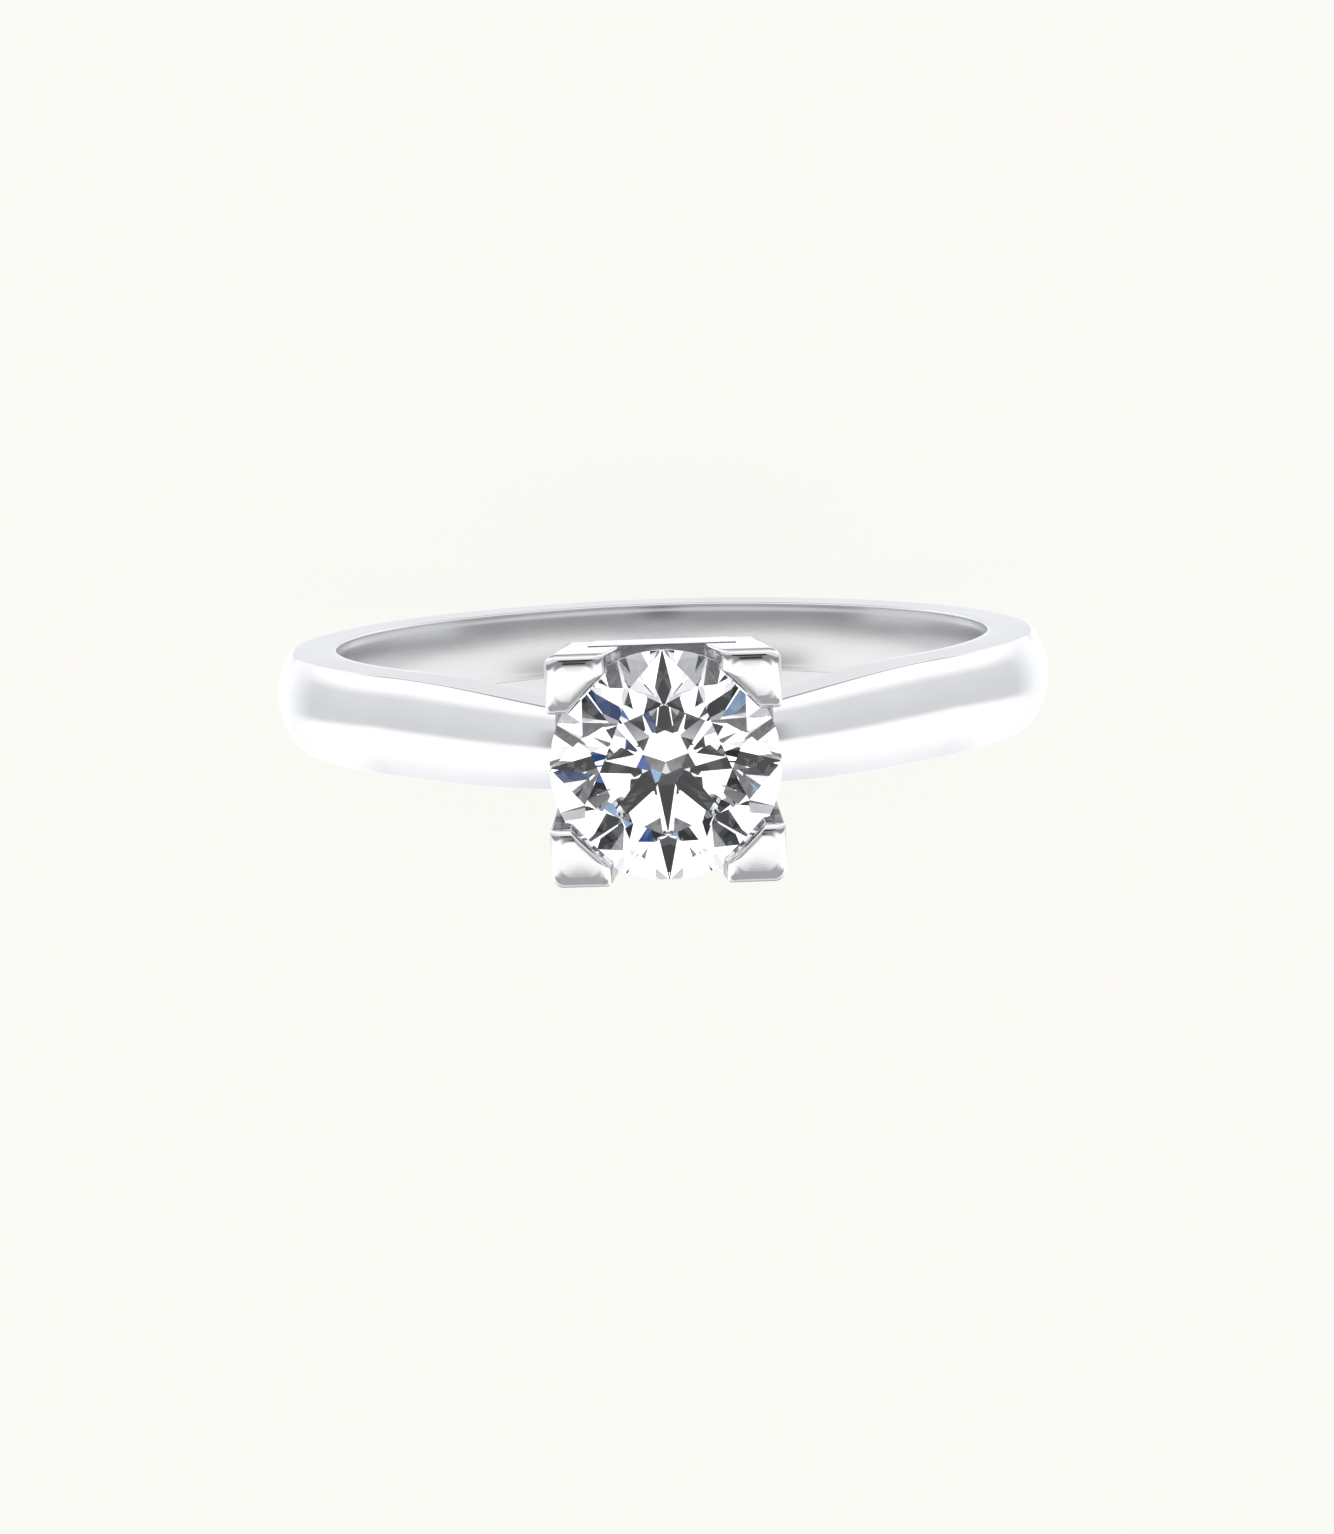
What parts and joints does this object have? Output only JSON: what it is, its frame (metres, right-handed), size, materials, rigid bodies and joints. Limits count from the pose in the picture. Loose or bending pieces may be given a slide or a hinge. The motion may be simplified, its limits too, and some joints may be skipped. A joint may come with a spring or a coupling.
{
  "type": "engagement ring",
  "caption": "Solitaire ring: a round brilliant stone in square corner claws above a square gallery rail, on a domed band that rises to it at both shoulders.",
  "frame": {"origin": "centre of the finger hole", "axes": "+Z from the finger up through the stone, +Y along the finger, +X from shoulder to shoulder"},
  "size_m": [0.0202, 0.0056, 0.0257],
  "materials": {
    "polished_platinum": "polished",
    "lined_platinum": "polished",
    "diamond": "polished"
  },
  "bodies": {
    "root": {"shank": "polished_platinum", "gallery_rail": "lined_platinum", "base_collet": "polished_platinum", "claw_left_rear": "polished_platinum", "claw_right_rear": "polished_platinum", "claw_left_front": "polished_platinum", "claw_right_front": "polished_platinum", "diamond": "diamond"}
  },
  "joints": []
}
